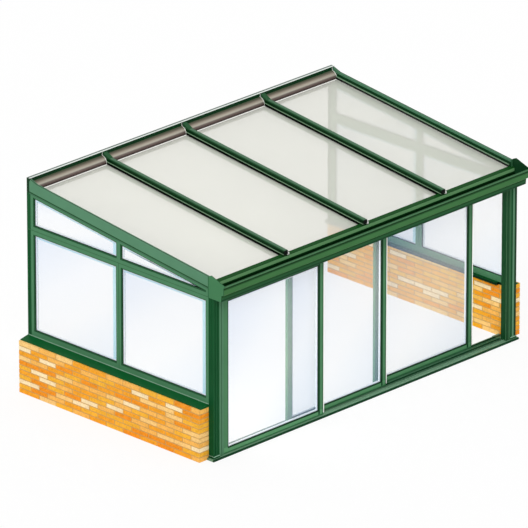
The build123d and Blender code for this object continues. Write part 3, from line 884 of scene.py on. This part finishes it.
def cap_trim():
    """What goes with each cap: a black plug in its end, and beside its foot a white clip on a black
    plate, a black lip of its gasket on the sheet at either side, and a white seal down its head.

    The closure's outer ends have the same seal on the fascias' inner faces.
    """
    plugs = []
    clips = []
    lips = []
    seals = [head_seal(-FASCIA_INSIDE + SEAL_WIDTH), head_seal(FASCIA_INSIDE)]
    for part in loose_parts(nodes["rafter_caps"]):
        left, right = extent(part, X)
        foot = extent(part, Y)[0]
        middle = (left + right) / 2
        base = roof_height(foot)
        plugs.append(block(
            (middle - 30 * MM, foot - 5 * MM, base + FLANGE_TOP),
            (middle + 30 * MM, foot + 2 * MM, base + 82 * MM)))
        plugs.append(block(
            (right - 2 * MM, foot + 4 * MM, base + 8 * MM),
            (right + 32 * MM, foot + 36 * MM, base + 15 * MM)))
        clips.append(block(
            (right - 2 * MM, foot + 2 * MM, base + 14 * MM),
            (right + 26 * MM, foot + 30 * MM, base + 40 * MM)))
        seals.append(head_seal(middle - 35 * MM))
        for side in (-1, 1):
            near, far = span(side, CAP_GASKET, CAP_GASKET + LIP_WIDTH)
            lips.append(roof_strip(
                middle + near, middle + far, foot + 40 * MM, CLOSURE_LOW[Y] - 4 * MM, 0.3 * MM, 3 * MM))
    piece("cap_gasket_lips", [(gasket_black, lips)])
    piece("cap_end_plugs", [(gasket_black, plugs)], bevel=1.5 * MM)
    piece("cap_foot_clips", [(tape_white, clips)], bevel=2.5 * MM)
    piece("cap_head_seals", [(tape_white, seals)])


# Front and gable trim

WINDOW_JOINT = 4 * MM           # half the width of the joint between two windows
JOINT_PROUD = 1.2 * MM


def window_trim():
    """Outside, a pale strip as a painted highlight on the sill's edge where the windows stand on it. On
    both faces, the windows' joints.
    """
    seals = []
    joints = []
    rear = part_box("left_back_post")[1][Y]
    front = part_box("left_window_sill")[0][Y]
    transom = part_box("left_upper_window")[0][Z]
    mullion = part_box("left_lower_front_window")[1][Y]
    for side in (-1, 1):
        left, right = span(side, HALF, HALF + 7 * MM)
        # A pale strip along the sill under the windows: a painted highlight on the sill's edge
        seals.append(block((left, front, SILL), (right, rear, SILL + 9 * MM)))
        inner_face = HALF - FRAME_DEPTH
        for start, end in ((HALF, HALF + JOINT_PROUD), (inner_face - JOINT_PROUD, inner_face)):
            left, right = span(side, start, end)
            joints.append(block(
                (left, front, transom - WINDOW_JOINT), (right, rear, transom + WINDOW_JOINT)))
            joints.append(block(
                (left, mullion - WINDOW_JOINT, SILL), (right, mullion + WINDOW_JOINT, transom)))
    piece("sill_edge_highlights", [(painted_highlight_trim, seals)], bevel=1.5 * MM)
    piece("window_joints", [(joint_green, joints)])


def post_rings():
    """A painted highlight: the pale upper edge of each corner post's shoe."""
    rings = []
    for side in (-1, 1):
        left, right = span(side, HALF - POST_WIDTH, HALF + SHOE_PROUD)
        rings.append(block(
            (left, FRONT - SHOE_PROUD - 1.5 * MM, SHOE_TOP - 7 * MM),
            (right, FRONT + 75 * MM, SHOE_TOP + 2 * MM)))
    piece("shoe_highlight_rings", [(painted_highlight_trim, rings)], bevel=1.5 * MM)


def seal_brush(leaf):
    """A slim white brush down the outer face of a leaf's seal strip, within the leaf's clearance."""
    low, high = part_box(f"{leaf}_seal_strip")
    brush = block(
        (high[X] - 0.5 * MM, low[Y] + 1 * MM, low[Z] + 2 * MM),
        (high[X] + 4 * MM, high[Y] - 1 * MM, high[Z] - 2 * MM))
    piece(f"{leaf}_seal_brush", [(seal_white, [brush])], body=f"{leaf}_leaf")


# The frame's own nodes


def dress(name, material):
    """Give a node one material all over."""
    slots = nodes[name].data.materials
    slots.clear()
    slots.append(material)


def dress_gables():
    window_green = window_paint()
    fascia_green = fascia_paint()
    post_green = post_paint()
    jamb_green = jamb_paint()
    end_green = end_plate_paint()
    sill_green = sill_paint()
    back_green = plain_paint("back_post_paint", linear(16, 80, 40))
    for side in GABLES:
        for window in ("lower_front_window", "lower_rear_window", "upper_window"):
            dress(f"{side}_{window}", window_green)
        dress(f"{side}_window_sill", sill_green)
        dress(f"{side}_back_post", back_green)
        dress(f"{side}_gable_rafter", fascia_green)
        dress(f"{side}_corner_post", post_green)
        dress(f"{side}_jamb", jamb_green)
        dress(f"{side}_gutter_end", end_green)
        low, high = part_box(f"{side}_lower_glass")
        pane_step = (high[Y] - low[Y]) / 2
        dress(f"{side}_lower_glass", glass_finish(
            f"{side}_lower_glazing", Y, low[Y], pane_step, low[Z], high[Z]))
        low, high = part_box(f"{side}_upper_glass")
        dress(f"{side}_upper_glass", glass_finish(
            f"{side}_upper_glazing", Y, low[Y], pane_step, low[Z], high[Z] + 100 * MM))


def dress_leaf(leaf):
    """A leaf's frame, pane and seal strip."""
    dress(f"{leaf}_leaf_frame", leaf_paint(leaf))
    low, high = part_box(f"{leaf}_leaf_glass")
    margin = 1 * MM
    dress(f"{leaf}_leaf_glass", glass_finish(
        f"{leaf}_glazing", X, low[X] - margin, high[X] - low[X] + 2 * margin, low[Z], high[Z]))
    dress(f"{leaf}_seal_strip", seal_white)


def dress_front_and_roof():
    dress("sill_track", sill_track_paint())
    dress("head_track", plain_paint("head_track_paint", linear(40, 92, 54)))
    dress("eaves_beam", eaves_paint())
    dress("gutter", gutter_paint())
    dress("wall_plate", wall_plate_paint())
    dress("rafter_caps", cap_paint())
    dress("ridge_closure", closure_finish())
    dress("roof_panels", opal_finish())
    rafter_green = rafter_paint()
    for number in (1, 2, 3):
        dress(f"rafter_{number}", rafter_green)


# Floor, light and camera

WHITE = (1, 1, 1, 1)
FLOOR_SIZE = 80.0
FLOOR_TOP = -1 * MM             # just under the walls' feet
FLOOR_THICKNESS = 49 * MM
FLOOR_MATTE = (0.98, 0.98, 0.98, 1)
FLOOR_WHITE_SHARE = 0.85        # how much of the floor's look is plain white, so that its shadow is soft
SKY_LIGHT = 0.72
SUN_LIGHT = 1.25
SUN_SPREAD = math.radians(25)
SUN_WAY = Vector((0.55, 0.5, -0.72))
FILL_WATTS = 56.0
FILL_LENGTH = 2.6
FILL_HEIGHT = 1.5
FILL_PLACE = (-2.35, 0.1, 1.1)
FILL_WAY = Vector((1.0, 0.0, 0.0))


def any_ray(tree, *kinds):
    """1 for a ray of one of the given kinds, and 0 for any other."""
    path = tree.nodes.new("ShaderNodeLightPath")
    found = path.outputs[kinds[0]]
    for kind in kinds[1:]:
        either = tree.nodes.new("ShaderNodeMath")
        either.operation = "MAXIMUM"
        tree.links.new(found, either.inputs[0])
        tree.links.new(path.outputs[kind], either.inputs[1])
        found = either.outputs[0]
    return found


def mixed_shader(tree, factor, first, second):
    """Two shaders mixed: the first where the factor is 0, and the second where it is 1."""
    node = tree.nodes.new("ShaderNodeMixShader")
    tree.links.new(factor, node.inputs[0])
    tree.links.new(first.outputs[0], node.inputs[1])
    tree.links.new(second.outputs[0], node.inputs[2])
    return node.outputs[0]


def floor_finish():
    """Plain white, with the object's shadow on it kept soft."""
    material = bpy.data.materials.new("floor")
    material.use_nodes = True
    tree = material.node_tree
    tree.nodes.clear()
    share = tree.nodes.new("ShaderNodeMath")
    share.operation = "MULTIPLY"
    share.inputs[1].default_value = FLOOR_WHITE_SHARE
    tree.links.new(any_ray(tree, "Is Camera Ray", "Is Transmission Ray"), share.inputs[0])
    matte = tree.nodes.new("ShaderNodeBsdfDiffuse")
    matte.inputs["Color"].default_value = FLOOR_MATTE
    white = tree.nodes.new("ShaderNodeEmission")
    white.inputs["Color"].default_value = WHITE
    white.inputs["Strength"].default_value = 1.0
    output = tree.nodes.new("ShaderNodeOutputMaterial")
    tree.links.new(mixed_shader(tree, share.outputs[0], matte, white), output.inputs["Surface"])
    return material


def make_floor():
    points, faces = block(
        (-FLOOR_SIZE, -FLOOR_SIZE, FLOOR_TOP - FLOOR_THICKNESS), (FLOOR_SIZE, FLOOR_SIZE, FLOOR_TOP))
    mesh = bpy.data.meshes.new("floor")
    mesh.from_pydata(points, [], faces)
    mesh.materials.append(floor_finish())
    made = bpy.data.objects.new("floor", mesh)
    scene.collection.objects.link(made)


def make_world():
    """Even light all round, and a plain white background."""
    world = bpy.data.worlds.new("world")
    world.use_nodes = True
    scene.world = world
    tree = world.node_tree
    light = tree.nodes["Background"]
    light.inputs["Color"].default_value = WHITE
    light.inputs["Strength"].default_value = SKY_LIGHT
    white = tree.nodes.new("ShaderNodeBackground")
    white.inputs["Color"].default_value = WHITE
    white.inputs["Strength"].default_value = 1.0
    seen = any_ray(tree, "Is Camera Ray", "Is Glossy Ray", "Is Transmission Ray")
    tree.links.new(mixed_shader(tree, seen, light, white), tree.nodes["World Output"].inputs["Surface"])


def pointing(way):
    """The rotation of a lamp or camera that looks a given way, upright."""
    return way.to_track_quat("-Z", "Y").to_euler()


def make_sun():
    sun_data = bpy.data.lights.new("sun", "SUN")
    sun_data.energy = SUN_LIGHT
    sun_data.angle = SUN_SPREAD
    sun = bpy.data.objects.new("sun", sun_data)
    sun.rotation_euler = pointing(SUN_WAY)
    scene.collection.objects.link(sun)


def make_room_fill():
    """A wide soft lamp inside the left gable, so that the room's far side isn't left in the dark."""
    fill_data = bpy.data.lights.new("room_fill", "AREA")
    fill_data.shape = "RECTANGLE"
    fill_data.size = FILL_LENGTH
    fill_data.size_y = FILL_HEIGHT
    fill_data.energy = FILL_WATTS
    fill = bpy.data.objects.new("room_fill", fill_data)
    fill.location = FILL_PLACE
    fill.rotation_euler = pointing(FILL_WAY)
    fill.visible_camera = False
    fill.visible_glossy = False
    scene.collection.objects.link(fill)


def make_camera():
    camera_data = bpy.data.cameras.new("camera")
    camera_data.lens = CAMERA_LENS
    camera_data.sensor_width = SENSOR
    camera_data.sensor_fit = "HORIZONTAL"
    camera_data.clip_end = CAMERA_REACH
    camera = bpy.data.objects.new("camera", camera_data)
    scene.collection.objects.link(camera)
    way = Vector((
        math.sin(CAMERA_AZIMUTH) * math.cos(CAMERA_ELEVATION),
        math.cos(CAMERA_AZIMUTH) * math.cos(CAMERA_ELEVATION),
        -math.sin(CAMERA_ELEVATION),
    ))
    camera.location = CAMERA_AIM - way * CAMERA_DISTANCE
    camera.rotation_euler = pointing(way)
    scene.camera = camera


# The whole scene

dress_gables()
for leaf in LEAVES:
    dress_leaf(leaf)
    seal_brush(leaf)
dress_front_and_roof()
brick_walls()
for gable in GABLES:
    pane_trim(f"{gable}_lower_pane_trim", f"{gable}_lower_glass", X, "frame")
    pane_trim(f"{gable}_upper_pane_trim", f"{gable}_upper_glass", X, "frame")
for leaf in LEAVES:
    pane_trim(f"{leaf}_pane_trim", f"{leaf}_leaf_glass", Y, f"{leaf}_leaf")
roof_trim()
cap_trim()
window_trim()
post_rings()
make_floor()
make_world()
make_sun()
make_room_fill()
make_camera()
scene.view_settings.view_transform = "Standard"
